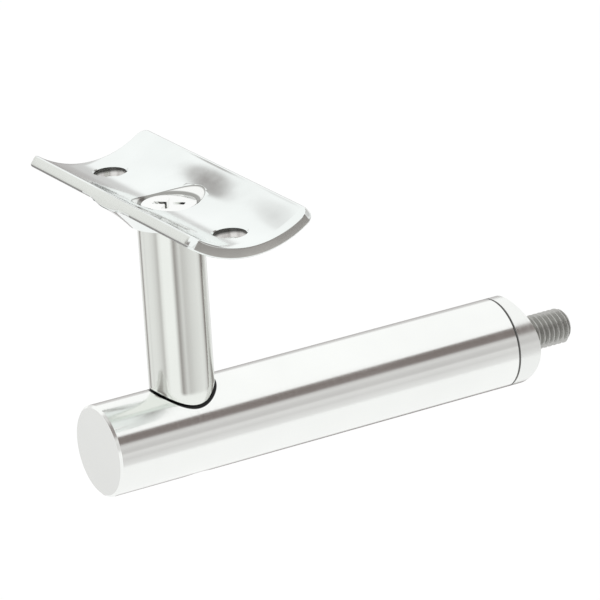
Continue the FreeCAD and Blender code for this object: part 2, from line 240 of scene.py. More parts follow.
# %% [markdown]
# The post is a bar of 14 mm. Its foot is cut to the arm's curve, which is made here by lowering
# each ring of the foot onto the arm: a point at y meets the arm at the height of a circle there.
# A fine chamfer round the foot makes room for the dark joint line that the real bracket shows.

# %% Post
TAPPED_RADIUS = 3 * MM
FOOT_CHAMFER = 0.15 * MM
FOOT_LINE = 0.45 * MM
POST_TOP_CHAMFER = 0.3 * MM
FOOT_RINGS = 4


def arm_height(y):
    """How high the arm's surface stands above its axis, at one distance from its middle."""
    return math.sqrt(ARM_RADIUS ** 2 - y ** 2)


def make_post():
    """The tapped pillar, its foot lowered onto the arm ring by ring."""
    top = post_high.z
    rim = POST_RADIUS - FOOT_CHAMFER
    foot = [(0, TAPPED_RADIUS + (rim - TAPPED_RADIUS) * ring / FOOT_RINGS)
            for ring in range(FOOT_RINGS + 1)]
    level = ARM_RADIUS + 2 * FOOT_LINE
    mesh = lathe([(level, TAPPED_RADIUS)] + foot + [
        (FOOT_LINE, POST_RADIUS),
        (level, POST_RADIUS),
        (top - POST_TOP_CHAMFER, POST_RADIUS),
        (top, POST_RADIUS - POST_TOP_CHAMFER),
        (top, TAPPED_RADIUS),
        (level, TAPPED_RADIUS)], "z", (POST_X, 0, 0))
    for vertex in mesh.verts:
        if vertex.co.z < level - MERGE:
            vertex.co.z += arm_height(vertex.co.y)
    return finished(as_object("round_post", mesh), "post")


post = make_post()

# %% [markdown]
# The saddle starts as a flat strip, as it does in the press: a quad with rounded corners, given
# its thickness and soft edges while it is still flat. Straight cuts across it let it bend. Then
# every point is rolled round the rail's axis, which turns the distance from the middle into an
# angle.

# %% Saddle's strip
saddle_low, saddle_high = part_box("saddle_plate")
RAIL_RADIUS = 21.2 * MM
RAIL_HEIGHT = 51 * MM
RAIL_AXIS = Vector((POST_X, 0, RAIL_HEIGHT + RAIL_RADIUS))
WALL = 2.6 * MM
MID_RADIUS = RAIL_RADIUS + WALL / 2
STRIP_WIDTH = 31 * MM
STRIP_LENGTH = saddle_high.y - saddle_low.y
CORNER_RADIUS = 2.5 * MM
CORNER_SEGMENTS = 8
EDGE_ROUND = 0.6 * MM
ROUND_SEGMENTS = 4
BEND_CUTS = 60
LENGTH_CUTS = 28


def everything(mesh):
    """All that a bmesh holds, as the geometry for an operator."""
    return mesh.verts[:] + mesh.edges[:] + mesh.faces[:]


def cut_across(mesh, axis, extent, count):
    """Cut a mesh into equal strips with planes across one axis."""
    for index in range(1, count):
        place = AXES[axis] * extent * (index / count - 0.5)
        bmesh.ops.bisect_plane(mesh, geom=everything(mesh), dist=MERGE, plane_co=place,
                               plane_no=AXES[axis])


def soften(mesh, edges, radius):
    """Round some edges of a bmesh."""
    bmesh.ops.bevel(mesh, geom=edges, offset=radius, offset_type="OFFSET",
                    segments=ROUND_SEGMENTS, profile=0.5, affect="EDGES", material=-1)


def flat_strip():
    """The strip before it is bent: its trough side at z = 0, and its wall below."""
    mesh = bmesh.new()
    bmesh.ops.create_grid(mesh, x_segments=1, y_segments=1, size=0.5)
    bmesh.ops.scale(mesh, vec=(STRIP_WIDTH, STRIP_LENGTH, 1), verts=mesh.verts)
    bmesh.ops.bevel(mesh, geom=mesh.verts[:], offset=CORNER_RADIUS, offset_type="OFFSET",
                    segments=CORNER_SEGMENTS, profile=0.5, affect="VERTICES", material=-1)
    outline = bmesh.ops.extrude_face_region(mesh, geom=mesh.faces[:])
    moved = [item for item in outline["geom"] if isinstance(item, bmesh.types.BMVert)]
    bmesh.ops.translate(mesh, vec=(0, 0, -WALL), verts=moved)
    bmesh.ops.recalc_face_normals(mesh, faces=mesh.faces)
    rims = [edge for edge in mesh.edges if abs(edge.verts[0].co.z - edge.verts[1].co.z) < MERGE]
    soften(mesh, rims, EDGE_ROUND)
    cut_across(mesh, "x", STRIP_WIDTH, BEND_CUTS)
    cut_across(mesh, "y", STRIP_LENGTH, LENGTH_CUTS)
    return mesh


def bend(mesh):
    """Roll the flat strip round the rail's axis and bring it to its place."""
    for vertex in mesh.verts:
        turn = vertex.co.x / MID_RADIUS
        radius = RAIL_RADIUS - vertex.co.z
        vertex.co.x = POST_X + radius * math.sin(turn)
        vertex.co.z = RAIL_HEIGHT + RAIL_RADIUS - radius * math.cos(turn)


strip = flat_strip()
bend(strip)
print("strip:", len(strip.faces), "faces")

# %% [markdown]
# The cast hub below the strip is a body of revolution: its underside flares out from the post's
# seat in a hollow curve. A cylinder round the rail's axis hollows it from above, half a wall deep,
# so that it reaches into the strip but not through it. Two planes then cut it off just inside the
# strip's long sides. Each cut is filled, because only a closed mesh joins on cleanly.

# %% Hub under the saddle
HUB_SEAT_RADIUS = 9 * MM
HUB_FLARE_CURVE = 36 * MM
HUB_FLARE_ANGLE = math.radians(50)
HUB_FLARE_REACH = 17 * MM
HUB_FLARE_STEPS = 16
HUB_SIDE_ROUND = 0.5 * MM
HUB_SIDE_INSET = 0.03 * MM
TROUGH_STEPS = 256


def flare_stations():
    """The hub's underside from its seat outwards: an arc that starts steep and then eases."""
    rim_sine = math.sin(HUB_FLARE_ANGLE)
    easy = math.asin(rim_sine - (HUB_FLARE_REACH - HUB_SEAT_RADIUS) / HUB_FLARE_CURVE)
    stations = []
    for step in range(HUB_FLARE_STEPS + 1):
        slope = HUB_FLARE_ANGLE + (easy - HUB_FLARE_ANGLE) * step / HUB_FLARE_STEPS
        stations.append((
            post_high.z + HUB_FLARE_CURVE * (math.cos(slope) - math.cos(HUB_FLARE_ANGLE)),
            HUB_SEAT_RADIUS + HUB_FLARE_CURVE * (rim_sine - math.sin(slope))))
    return stations


def hollow_hub():
    """The turned hub as a bmesh, hollowed from above and still round."""
    flare = flare_stations()
    top = flare[-1][0] + 2 * CLEAR
    hub = as_object("hub", lathe([(post_high.z, 0)] + flare + [(top, HUB_FLARE_REACH), (top, 0)],
                                 "z", (POST_X, 0, 0), steps=FINE_STEPS))
    reach = HUB_FLARE_REACH + CLEAR
    combine(hub, lathe([(-reach, 0), (-reach, MID_RADIUS), (reach, MID_RADIUS), (reach, 0)],
                       "y", RAIL_AXIS, steps=TROUGH_STEPS))
    mesh = as_bmesh(hub)
    bmesh.ops.remove_doubles(mesh, verts=mesh.verts, dist=MERGE)
    return mesh


def below_strip(edge):
    """Whether an edge lies below the strip, as the lower edges of the hub's two cuts do."""
    return all(math.hypot(vertex.co.x - RAIL_AXIS.x, vertex.co.z - RAIL_AXIS.z)
               > RAIL_RADIUS + WALL for vertex in edge.verts)


def flared_hub():
    """The hub with both its sides cut off, closed and softened."""
    mesh = hollow_hub()
    half_turn = (STRIP_WIDTH / 2 - HUB_SIDE_INSET) / MID_RADIUS
    for side in (-1, 1):
        outward = Vector((side * math.cos(half_turn), 0, math.sin(half_turn)))
        cut = bmesh.ops.bisect_plane(mesh, geom=everything(mesh), dist=MERGE,
                                     plane_co=RAIL_AXIS, plane_no=outward, clear_outer=True)
        rim = [item for item in cut["geom_cut"] if isinstance(item, bmesh.types.BMEdge)]
        bmesh.ops.holes_fill(mesh, edges=rim)
        soften(mesh, [edge for edge in rim if edge.is_valid and below_strip(edge)],
               HUB_SIDE_ROUND)
    bmesh.ops.recalc_face_normals(mesh, faces=mesh.faces)
    return mesh


hub = flared_hub()
print("hub:", len(hub.faces), "faces")

# %% [markdown]
# The strip and the hub are joined, and the holes come last: one for the countersunk screw, which
# opens at 45 degrees below the head's rim, and two for the rail's screws, with soft rims. Each
# drill is a lathed shape that reaches well past the plate at both ends.

# %% Saddle plate
RAIL_HOLE_RADIUS = 3.5 * MM
RAIL_HOLE_SPACING = 51 * MM
RAIL_HOLE_STEPS = 72
DEBURR = 0.12 * MM
LOWER_DEBURR = 0.4 * MM
HEAD_RADIUS = 6 * MM
HEAD_RIM = 0.15 * MM
HEAD_SINK = 0.3 * MM
HEAD_GAP = 0.1 * MM


def make_saddle():
    """The strip and the hub in one piece, with its three holes."""
    saddle = combine(as_object("saddle", strip), hub, "UNION")
    head = HEAD_RADIUS + HEAD_GAP
    seat = RAIL_HEIGHT - HEAD_SINK - HEAD_RIM
    combine(saddle, lathe([
        (post_high.z - CLEAR, 0),
        (post_high.z - CLEAR, THROUGH_RADIUS),
        (seat - (head - THROUGH_RADIUS), THROUGH_RADIUS),
        (seat + HEAD_RADIUS, head + HEAD_RADIUS),
        (seat + HEAD_RADIUS, 0)], "z", (POST_X, 0, 0)))
    for side in (-1, 1):
        hole = (POST_X, side * RAIL_HOLE_SPACING / 2, 0)
        combine(saddle, lathe([
            (RAIL_HEIGHT - WALL - CLEAR, 0),
            (RAIL_HEIGHT - WALL - CLEAR, RAIL_HOLE_RADIUS + LOWER_DEBURR + CLEAR),
            (RAIL_HEIGHT - WALL + LOWER_DEBURR, RAIL_HOLE_RADIUS),
            (RAIL_HEIGHT - DEBURR, RAIL_HOLE_RADIUS),
            (RAIL_HEIGHT + CLEAR, RAIL_HOLE_RADIUS + DEBURR + CLEAR),
            (RAIL_HEIGHT + CLEAR, 0)], "z", hole, steps=RAIL_HOLE_STEPS))
    return finished(saddle, "saddle_plate")


saddle = make_saddle()

# %% [markdown]
# The seat ring is a short collar of the arm's own bar. Its free end is hollowed to fit a round
# upright, so the same trick as at the post's foot is used, the other way up: each point of the
# free end slides along X until it meets the upright's curve.

# %% Seat ring
ring_low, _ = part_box("adapter_ring")
UPRIGHT_RADIUS = 21.2 * MM
RING_BORE_RADIUS = 4.2 * MM
RING_EDGE = 0.2 * MM
SEAT_RINGS = 5


def upright_depth(y):
    """How far the upright's surface has curved away, at one distance from its middle."""
    return UPRIGHT_RADIUS - math.sqrt(UPRIGHT_RADIUS ** 2 - y ** 2)


def make_ring():
    """The collar, its free end slid onto the upright ring by ring."""
    back_face = ring_low.x
    rim = ARM_RADIUS - RING_EDGE
    seat = [(0, rim + (RING_BORE_RADIUS - rim) * ring / SEAT_RINGS)
            for ring in range(SEAT_RINGS + 1)]
    mesh = lathe([(back_face, RING_BORE_RADIUS),
                  (back_face, ARM_RADIUS - SEAM_CHAMFER),
                  (back_face + SEAM_CHAMFER, ARM_RADIUS),
                  (-RING_EDGE, ARM_RADIUS)] + seat + [
                  (back_face, RING_BORE_RADIUS)], "x", steps=FINE_STEPS)
    for vertex in mesh.verts:
        if vertex.co.x > -RING_EDGE - MERGE:
            vertex.co.x += upright_depth(vertex.co.y)
    return finished(as_object("seat_ring", mesh), "adapter_ring")


ring = make_ring()

# %% [markdown]
# A thread is one pitch of its profile, repeated along the axis and spun one full turn while it
# moves on by one pitch. Each turn then meets its neighbour exactly, and merging the doubles closes
# the seam. The raw helix has ragged ends, so it is cut to a chamfered blank, as a die would meet a
# chamfered rod, which leaves the clean tapering start of a real thread. Depth and crest are the
# shares of the pitch that a metric thread has.

# %% Thread helpers
TURN_STEPS = 72
FLANK = math.radians(30)
THREAD_DEPTH = 0.6134
CREST_WIDTH = 1 / 8
LEAD_TURNS = 2
SPARE_TURNS = 3


def thread(radius, pitch, start, end, axis):
    """An open helical thread surface, longer than start to end by a pitch at each end."""
    depth = THREAD_DEPTH * pitch
    crest = CREST_WIDTH * pitch
    flank = depth * math.tan(FLANK)
    root = pitch - crest - 2 * flank
    one = [(0, radius), (crest, radius), (crest + flank, radius - depth),
           (crest + flank + root, radius - depth)]
    turns = math.ceil((end - start) / pitch) + SPARE_TURNS
    stations = [(start - LEAD_TURNS * pitch + turn * pitch + along, out)
                for turn in range(turns) for along, out in one]
    mesh = bmesh.new()
    middle = Vector((0, 0, 0))
    bmesh.ops.spin(mesh, geom=draw_line(mesh, stations, axis, middle), cent=middle,
                   axis=AXES[axis], dvec=AXES[axis] * (pitch / TURN_STEPS),
                   angle=2 * math.pi, steps=TURN_STEPS, use_merge=False)
    bmesh.ops.remove_doubles(mesh, verts=mesh.verts, dist=MERGE)
    return mesh


def trimmed(mesh, axis, start, end):
    """Cut a thread off square at both ends and close them."""
    for place, outer in ((start, False), (end, True)):
        bmesh.ops.bisect_plane(mesh, geom=everything(mesh), dist=MERGE,
                               plane_co=AXES[axis] * place, plane_no=AXES[axis],
                               clear_outer=outer, clear_inner=not outer)
    open_edges = [edge for edge in mesh.edges if edge.is_boundary]
    bmesh.ops.holes_fill(mesh, edges=open_edges)
    bmesh.ops.recalc_face_normals(mesh, faces=mesh.faces)
    return mesh


# %% [markdown]
# The stud is a short M8 thread with a chamfer at each end and a hexagon socket in its free end,
# so that it can be driven into the arm with a key. A lathe with only six steps makes the hexagon.

# %% Threaded stud
stud_low, stud_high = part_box("threaded_stud")
STUD_RADIUS = stud_high.y
STUD_PITCH = 1.25 * MM
STUD_CHAMFER = 1 * MM
STUD_SOCKET = 4 * MM
STUD_SOCKET_DEPTH = 5 * MM


def hexagon(across_flats, low, high, axis, centre=(0, 0, 0)):
    """A hexagonal prism, given by its width across the flats."""
    corner = across_flats / 2 / math.cos(math.pi / 6)
    return lathe([(low, 0), (low, corner), (high, corner), (high, 0)], axis, centre, steps=6)


def make_stud():
    """The threaded pin, chamfered by a blank and driven by a hexagon."""
    start, end = stud_low.x, stud_high.x
    mesh = trimmed(thread(STUD_RADIUS, STUD_PITCH, start, end, "x"), "x", start, end)
    stud = as_object("stud", mesh)
    wide = STUD_RADIUS + STUD_CHAMFER
    small = STUD_RADIUS - STUD_CHAMFER
    combine(stud, lathe([(start - MERGE, 0), (start - MERGE, small),
                         (start + 2 * STUD_CHAMFER, wide), (end - 2 * STUD_CHAMFER, wide),
                         (end + MERGE, small), (end + MERGE, 0)], "x"), "INTERSECT")
    combine(stud, hexagon(STUD_SOCKET, end - STUD_SOCKET_DEPTH, end + CLEAR, "x"))
    return finished(stud, "threaded_stud")


stud = make_stud()

# %% [markdown]
# Two screws hold the post. The first is a countersunk one, down through the saddle, with a cross
# recess. The head and shank are one lathed shape. The cross is two straight wings, each cut down
# to a cone, and turned 45 degrees as it happens to stand on this bracket.

# %% Countersunk screw
saddle_screw_low, saddle_screw_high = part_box("saddle_screw")
SCREW_STEPS = 96
SHANK_RADIUS = 2.95 * MM
TIP_CHAMFER = 0.6 * MM
HEAD_EDGE = 0.15 * MM
RECESS_RADIUS = 3.5 * MM
RECESS_FOOT = 1.1 * MM
RECESS_DEPTH = 3 * MM
RECESS_WING = 1.4 * MM
RECESS_TURNS = (math.radians(45), math.radians(135))
RECESS_STEPS = 64


def make_saddle_screw():
    """The countersunk screw with its cross recess."""
    top, tip = saddle_screw_high.z, saddle_screw_low.z
    centre = (POST_X, 0, 0)
    rim = top - HEAD_RIM
    screw = as_object("countersunk_screw", lathe([
        (top, 0),
        (top, HEAD_RADIUS - HEAD_EDGE),
        (rim, HEAD_RADIUS),
        (rim - (HEAD_RADIUS - SHANK_RADIUS), SHANK_RADIUS),
        (tip + TIP_CHAMFER, SHANK_RADIUS),
        (tip, SHANK_RADIUS - TIP_CHAMFER),
        (tip, 0)], "z", centre, steps=SCREW_STEPS))
    foot = top - RECESS_DEPTH
    slope = (RECESS_RADIUS - RECESS_FOOT) / RECESS_DEPTH
    for turn in RECESS_TURNS:
        mesh = bmesh.new()
        bmesh.ops.create_cube(mesh, size=1)
        bmesh.ops.scale(mesh, vec=(4 * RECESS_RADIUS, RECESS_WING, 2 * RECESS_DEPTH),
                        verts=mesh.verts)
        bmesh.ops.rotate(mesh, cent=(0, 0, 0), matrix=Matrix.Rotation(turn, 3, "Z"),
                         verts=mesh.verts)
        bmesh.ops.translate(mesh, vec=(POST_X, 0, top), verts=mesh.verts)
        wing = as_object("wing", mesh)
        combine(wing, lathe([(foot, 0), (foot, RECESS_FOOT),
                             (top + CLEAR, RECESS_RADIUS + slope * CLEAR), (top + CLEAR, 0)],
                            "z", centre, steps=RECESS_STEPS), "INTERSECT")
        combine(screw, as_bmesh(wing))
    return finished(screw, "saddle_screw")


saddle_screw = make_saddle_screw()

# %% [markdown]
# The second is a socket head screw, up through the arm into the post. It hides in its counterbore
# below the arm, so only its head and the hexagon in it are ever seen.

# %% Socket screw
post_screw_low, post_screw_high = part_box("post_screw")
CAP_RADIUS = 5 * MM
CAP_HEIGHT = 6 * MM
CAP_CHAMFER = 0.4 * MM
CAP_SOCKET = 5 * MM
CAP_SOCKET_DEPTH = 3 * MM


def make_post_screw():
    """The socket head screw, which points up."""
    low, tip = post_screw_low.z, post_screw_high.z
    seat = low + CAP_HEIGHT
    centre = (POST_X, 0, 0)
    screw = as_object("socket_screw", lathe([
        (low, 0),
        (low, CAP_RADIUS - CAP_CHAMFER),
        (low + CAP_CHAMFER, CAP_RADIUS),
        (seat, CAP_RADIUS),
        (seat, SHANK_RADIUS),
        (tip - TIP_CHAMFER, SHANK_RADIUS),
        (tip, SHANK_RADIUS - TIP_CHAMFER),
        (tip, 0)], "z", centre, steps=SCREW_STEPS))
    combine(screw, hexagon(CAP_SOCKET, low - CLEAR, low + CAP_SOCKET_DEPTH, "z", centre))
    return finished(screw, "post_screw")


post_screw = make_post_screw()

# %% [markdown]
# Materials are built from nodes, and every node is made the same way: it is added, a few of its
# settings are chosen, and each input gets a plain value or a link. Small helpers do that, so the
# materials below read as a list of nodes. Another starts a node group, which is a box of nodes
# with named sockets that several materials can share.

# %% Node helpers
def feed(tree, node, inputs):
    """Give each input a plain value, or link it to the output that is given."""
    for socket, value in inputs.items():
        if isinstance(value, bpy.types.NodeSocket):
            tree.links.new(value, node.inputs[socket])
        else:
            node.inputs[socket].default_value = value


def add_node(tree, kind, inputs=None, **settings):
    """Add a shader node, choose its settings and feed its inputs."""
    node = tree.nodes.new("ShaderNode" + kind)
    for name, value in settings.items():
        setattr(node, name, value)
    feed(tree, node, inputs or {})
    return node


def calculate(tree, operation, *numbers):
    """The output of a math node, from numbers and other outputs."""
    return add_node(tree, "Math", dict(enumerate(numbers)), operation=operation).outputs["Value"]


def fade(tree, value, low, high):
    """A mask that rises from 0 to 1 while a value goes from low to high."""
    rise = add_node(tree, "MapRange", {"Value": value, "From Min": low, "From Max": high})
    return rise.outputs["Result"]


def start_group(name, inputs, outputs):
    """A node group with its sockets, and the two nodes that stand for them inside it."""
    group = bpy.data.node_groups.new(name, "ShaderNodeTree")
    for title, kind, value in inputs:
        socket = group.interface.new_socket(name=title, in_out="INPUT",
                                            socket_type="NodeSocket" + kind)
        if value is not None:
            socket.default_value = value
    for title in outputs:
        group.interface.new_socket(name=title, in_out="OUTPUT", socket_type="NodeSocketFloat")
    return group, group.nodes.new("NodeGroupInput"), group.nodes.new("NodeGroupOutput")


def new_material(name):
    """A material with nodes, and its tree."""
    material = bpy.data.materials.new(name)
    material.use_nodes = True
    return material, material.node_tree


def dress(piece, material):
    """Let a piece wear one material and no other."""
    piece.data.materials.clear()
    piece.data.materials.append(material)


# %% [markdown]
# Every piece is stainless steel, but each is finished another way, so one node group makes the
# fine grain that a belt or a lathe tool leaves, and each material gives it its own direction,
# scale and strength. A stretched noise makes the lines, and a slow one makes faint clouds. The
# group only puts out a roughness, a height and a tone. The shader stays in the material.

# %% Grain group
LINE_DETAIL = 3
CLOUD_SCALE = 55
CLOUD_DETAIL = 2
CLOUD_SHARE = 0.4
GRAIN_SPREAD = (0.3, 0.7)
TONE_SPREAD = (0.35, 0.65)


def grain_group():
    """Fine lines that vary fast across one direction and slowly along the others."""
    group, entry, out = start_group("metal_grain", (
        ("Vector", "Vector", None),
        ("Scale", "Vector", (60, 60, 6000)),
        ("Roughness Low", "Float", 0.1),
        ("Roughness High", "Float", 0.2)), ("Roughness", "Height", "Tone"))
    stretch = add_node(group, "VectorMath", {
        0: entry.outputs["Vector"],
        1: entry.outputs["Scale"]}, operation="MULTIPLY")
    lines = add_node(group, "TexNoise", {
        "Vector": stretch.outputs["Vector"],
        "Scale": 1,
        "Detail": LINE_DETAIL})
    cloud = add_node(group, "TexNoise", {
        "Vector": entry.outputs["Vector"],
        "Scale": CLOUD_SCALE,
        "Detail": CLOUD_DETAIL})
    share = calculate(group, "MULTIPLY", cloud.outputs["Fac"], CLOUD_SHARE)
    blend = calculate(group, "MULTIPLY_ADD", lines.outputs["Fac"], 1 - CLOUD_SHARE, share)
    roughness = add_node(group, "MapRange", {
        "Value": blend,
        "From Min": GRAIN_SPREAD[0],
        "From Max": GRAIN_SPREAD[1],
        "To Min": entry.outputs["Roughness Low"],
        "To Max": entry.outputs["Roughness High"]})
    feed(group, out, {
        "Roughness": roughness.outputs["Result"],
        "Height": lines.outputs["Fac"],
        "Tone": fade(group, cloud.outputs["Fac"], *TONE_SPREAD)})
    return group


GRAIN = grain_group()
print("grain group:", len(GRAIN.nodes), "nodes")

# %% [markdown]
# One function makes each steel. The scale is the grain's direction: a bar is ground round and
# round, so its lines are close together along its axis. Dull steels are rougher and darker, and
# the stain says how far the faint clouds darken the colour. The plate wears six steels in all.

# %% Metal materials
BUMP_DISTANCE = 0.01 * MM


def metal(name, colour, scale, roughness, bump, stain=0.03):
    """A steel whose grain runs as the scale says, with faint clouds as dark as the stain says."""
    material, tree = new_material(name)
    shader = tree.nodes["Principled BSDF"]
    place = add_node(tree, "TexCoord")
    grain = add_node(tree, "Group", {
        "Vector": place.outputs["Object"],
        "Scale": scale,
        "Roughness Low": roughness[0],
        "Roughness High": roughness[1]}, node_tree=GRAIN)
    tint = add_node(tree, "Mix", {
        "A": (*[value * (1 - stain) for value in colour], 1),
        "B": (*colour, 1),
        "Factor": grain.outputs["Tone"]}, data_type="RGBA", name="tint")
    relief = add_node(tree, "Bump", {
        "Strength": bump,
        "Distance": BUMP_DISTANCE,
        "Height": grain.outputs["Height"]})
    feed(tree, shader, {
        "Metallic": 1,
        "Roughness": grain.outputs["Roughness"],
        "Base Color": tint.outputs["Result"],
        "Normal": relief.outputs["Normal"]})
    return material


ALONG_X = (6000, 40, 40)
ALONG_Z = (40, 40, 6000)
DRILL_LINES = (200, 200, 5000)
EVEN = (200, 200, 200)
bar_steel = metal("bar_steel", (0.915, 0.93, 0.91), ALONG_X, (0.10, 0.18), 0.3)
post_steel = metal("post_steel", (0.85, 0.875, 0.835), ALONG_Z, (0.08, 0.15), 0.3)
ring_steel = metal("ring_steel", (0.88, 0.895, 0.875), ALONG_X, (0.16, 0.26), 0.3)
stud_steel = metal("stud_steel", (0.52, 0.52, 0.50), (900, 900, 900), (0.3, 0.45), 0.3)
screw_steel = metal("screw_steel", (0.93, 0.94, 0.925), EVEN, (0.08, 0.16), 0.1)
saddle_steel = metal("saddle_steel", (0.875, 0.91, 0.895), (300, 300, 300), (0.06, 0.14), 0.1, 0.06)
edge_steel = metal("edge_steel", (0.735, 0.755, 0.72), (60, 4000, 60), (0.22, 0.34), 0.4)
sawn_steel = metal("sawn_steel", (0.50, 0.49, 0.465), (900, 900, 300), (0.3, 0.45), 0.6, 0.3)
sunk_steel = metal("sunk_steel", (0.91, 0.92, 0.90), DRILL_LINES, (0.15, 0.25), 0.3)
drilled_steel = metal("drilled_steel", (0.80, 0.79, 0.77), DRILL_LINES, (0.2, 0.3), 0.3)
# The darker steel below the plate's long edges is painted shade under the edge.
edge_underside_shade = metal("edge_underside_shade", (0.38, 0.38, 0.37), (60, 300, 60), (0.25, 0.35), 0.1, 0.2)
seam_black = metal("seam_black", (0.03, 0.03, 0.03), EVEN, (0.5, 0.6), 0.3)
seam_steel = metal("seam_steel", (0.16, 0.16, 0.155), EVEN, (0.3, 0.4), 0.3)
for piece, material in ((arm, bar_steel), (post, post_steel), (saddle, saddle_steel),
                        (ring, ring_steel), (stud, stud_steel), (saddle_screw, screw_steel),
                        (post_screw, screw_steel)):
    dress(piece, material)
    print(piece.name, "wears", material.name)

# %% [markdown]
# Holes look black just under their rim and light further in, where light comes up from below. The
# depth of a point below the trough is its distance from the rail's axis, less the rail's radius. A
# group works that out from the Object coordinates, and two materials darken with it. The
# countersink is dark beside the screw's head as well, so it also darkens below one height.

# %% Shade under a rim
HEIGHT_FADE = 0.2 * MM
SHADE_BLUE_SHARE = 0.95


def distance_from(tree, place, point, keep):
    """How far a place is from a point, counted only along the axes that keep has a 1 for."""
    offset = add_node(tree, "VectorMath", {0: place, 1: point}, operation="SUBTRACT")
    flat = add_node(tree, "VectorMath", {0: offset.outputs["Vector"], 1: keep},
                    operation="MULTIPLY")
    distance = add_node(tree, "VectorMath", {0: flat.outputs["Vector"]}, operation="LENGTH")
    return distance.outputs["Value"]


def depth_group():
    """How deep a point lies below the trough, in millimetres."""
    group, entry, out = start_group("trough_depth", (("Vector", "Vector", None),), ("Depth",))
    distance = distance_from(group, entry.outputs["Vector"], RAIL_AXIS, (1, 0, 1))
    depth = calculate(group, "MULTIPLY_ADD", distance, 1 / MM, -RAIL_RADIUS / MM)
    feed(group, out, {"Depth": depth})
    return group


TROUGH_DEPTH = depth_group()


def shade(tree, colour, mask):
    """Put a dark colour in front of a steel's own tint wherever the mask is 0."""
    mix = add_node(tree, "Mix", {
        "A": (*colour, 1),
        "B": tree.nodes["tint"].outputs["Result"],
        "Factor": mask}, data_type="RGBA")
    feed(tree, tree.nodes["Principled BSDF"], {"Base Color": mix.outputs["Result"]})


def darken_rim(material, level, dark_until, light_from, dark_below=None):
    """Darken a steel from the rim down to a depth, and also below a height if one is given."""
    tree = material.node_tree
    place = add_node(tree, "TexCoord").outputs["Object"]
    depth = add_node(tree, "Group", {"Vector": place}, node_tree=TROUGH_DEPTH)
    light = fade(tree, depth.outputs["Depth"], dark_until, light_from)
    if dark_below is not None:
        height = add_node(tree, "SeparateXYZ", {"Vector": place})
        above = fade(tree, height.outputs["Z"], dark_below, dark_below + HEIGHT_FADE)
        light = calculate(tree, "MINIMUM", light, above)
    shade(tree, (level, level, level * SHADE_BLUE_SHARE), light)


darken_rim(drilled_steel, 0.10, 0.9, 1.5)
darken_rim(sunk_steel, 0.34, 0.08, 0.22, dark_below=RAIL_HEIGHT)
print("shaded under their rims:", drilled_steel.name, sunk_steel.name)

# %% [markdown]
# The plate was cut from a strip, so its faces don't all look alike. The trough is pressed and
# bright, the two long edges are ground, the two ends are sawn and dull, and the holes are drilled.
# The lower rounding of each long edge gets a darker steel, which is painted shade under the edge.
# Each face finds its own finish from where it lies and which way it looks. The painted shade
# leaves out the middle, where the hub runs out flush with the edge.

# %% Finishes of the saddle's faces
PRESSED, GROUND, SAWN, SUNK, IN_HOLE, SHADE_UNDER_EDGE = range(6)
FACING = 0.9
IN_TROUGH = 0.96
ROUNDED = 0.5
UPRIGHT_WALL = 0.3
SINK_REACH = 9 * MM
# How far from the middle the painted shade under the long edges begins.
SHADE_FREE_MIDDLE = 10 * MM


def saddle_finish(centre, normal):
    """Which of the saddle's materials a face wears, from its middle and its normal."""
    across = Vector((centre.x - POST_X, centre.y, 0))
    inward = Vector((RAIL_AXIS.x - centre.x, 0, RAIL_AXIS.z - centre.z))
    in_strip = inward.length < RAIL_RADIUS + WALL + MERGE
    inward.normalize()
    if inward.dot(normal) > IN_TROUGH:
        return PRESSED
    if normal.dot(across) < -UPRIGHT_WALL * across.length and across.length < SINK_REACH:
        return SUNK
    for side in (-1, 1):
        from_hole = across - Vector((0, side * RAIL_HOLE_SPACING / 2, 0))
        if from_hole.length < RAIL_HOLE_RADIUS + MERGE and abs(normal.z) < UPRIGHT_WALL:
            return IN_HOLE
    if abs(normal.y) > FACING:
        return SAWN
    if abs(across.x) > STRIP_WIDTH / 3:
        along = Vector((inward.z, 0, -inward.x))
        if abs(normal.dot(along)) > FACING:
            return GROUND
        arc = math.atan2(abs(inward.x), inward.z) * MID_RADIUS
        rounded = inward.dot(normal) < -ROUNDED and arc > STRIP_WIDTH / 2 - EDGE_ROUND
        # The lower rounding of a long edge wears painted shade, except near the middle.
        if rounded and in_strip and abs(centre.y) > SHADE_FREE_MIDDLE:
            return SHADE_UNDER_EDGE
    return PRESSED


for material in (edge_steel, sawn_steel, sunk_steel, drilled_steel, edge_underside_shade):
    saddle.data.materials.append(material)
for face in saddle.data.polygons:
    face.material_index = saddle_finish(face.center, face.normal)
counts = [sum(face.material_index == index for face in saddle.data.polygons)
          for index in range(len(saddle.data.materials))]
print("saddle faces pressed, ground, sawn, sunk, drilled, shaded_under_edge:", counts)

# %% [markdown]
# A crisp black line runs round the post's foot, where it sits on the arm. It is the shade of a
# fine joint that no light reaches. The small chamfer at the foot gets a black of its own, and the
# arm's steel is black in a narrow ring round the post, found from the distance to its axis.

# %% Joint line at the post's foot
JOINT_RING = 0.3 * MM
JOINT_FADE = 0.1 * MM
JOINT_BLACK = (0.02, 0.02, 0.02)


def blacken_joint(material):
    """Turn a steel black on its upper side, close round the post."""
    tree = material.node_tree
    place = add_node(tree, "TexCoord").outputs["Object"]
    distance = distance_from(tree, place, (POST_X, 0, 0), (1, 1, 0))
    edge = POST_RADIUS + JOINT_RING
    clean = fade(tree, distance, edge, edge + JOINT_FADE)
    height = add_node(tree, "SeparateXYZ", {"Vector": place})
    below = calculate(tree, "LESS_THAN", height.outputs["Z"], 0)
    shade(tree, JOINT_BLACK, calculate(tree, "MAXIMUM", clean, below))


blacken_joint(bar_steel)


def on_foot_chamfer(centre):
    """Whether a face of the post, given by its middle, lies on the chamfer of its foot."""
    low = centre.z < arm_height(centre.y) + FOOT_LINE
    return low and math.hypot(centre.x - POST_X, centre.y) > POST_RADIUS - FOOT_CHAMFER


def add_second_finish(piece, material, chosen):
    """Give the chosen faces of a piece a second material."""
    piece.data.materials.append(material)
    for face in piece.data.polygons:
        if chosen(face.center):
            face.material_index = 1
    print(piece.name, material.name, sum(face.material_index for face in piece.data.polygons))


add_second_finish(post, seam_black, on_foot_chamfer)

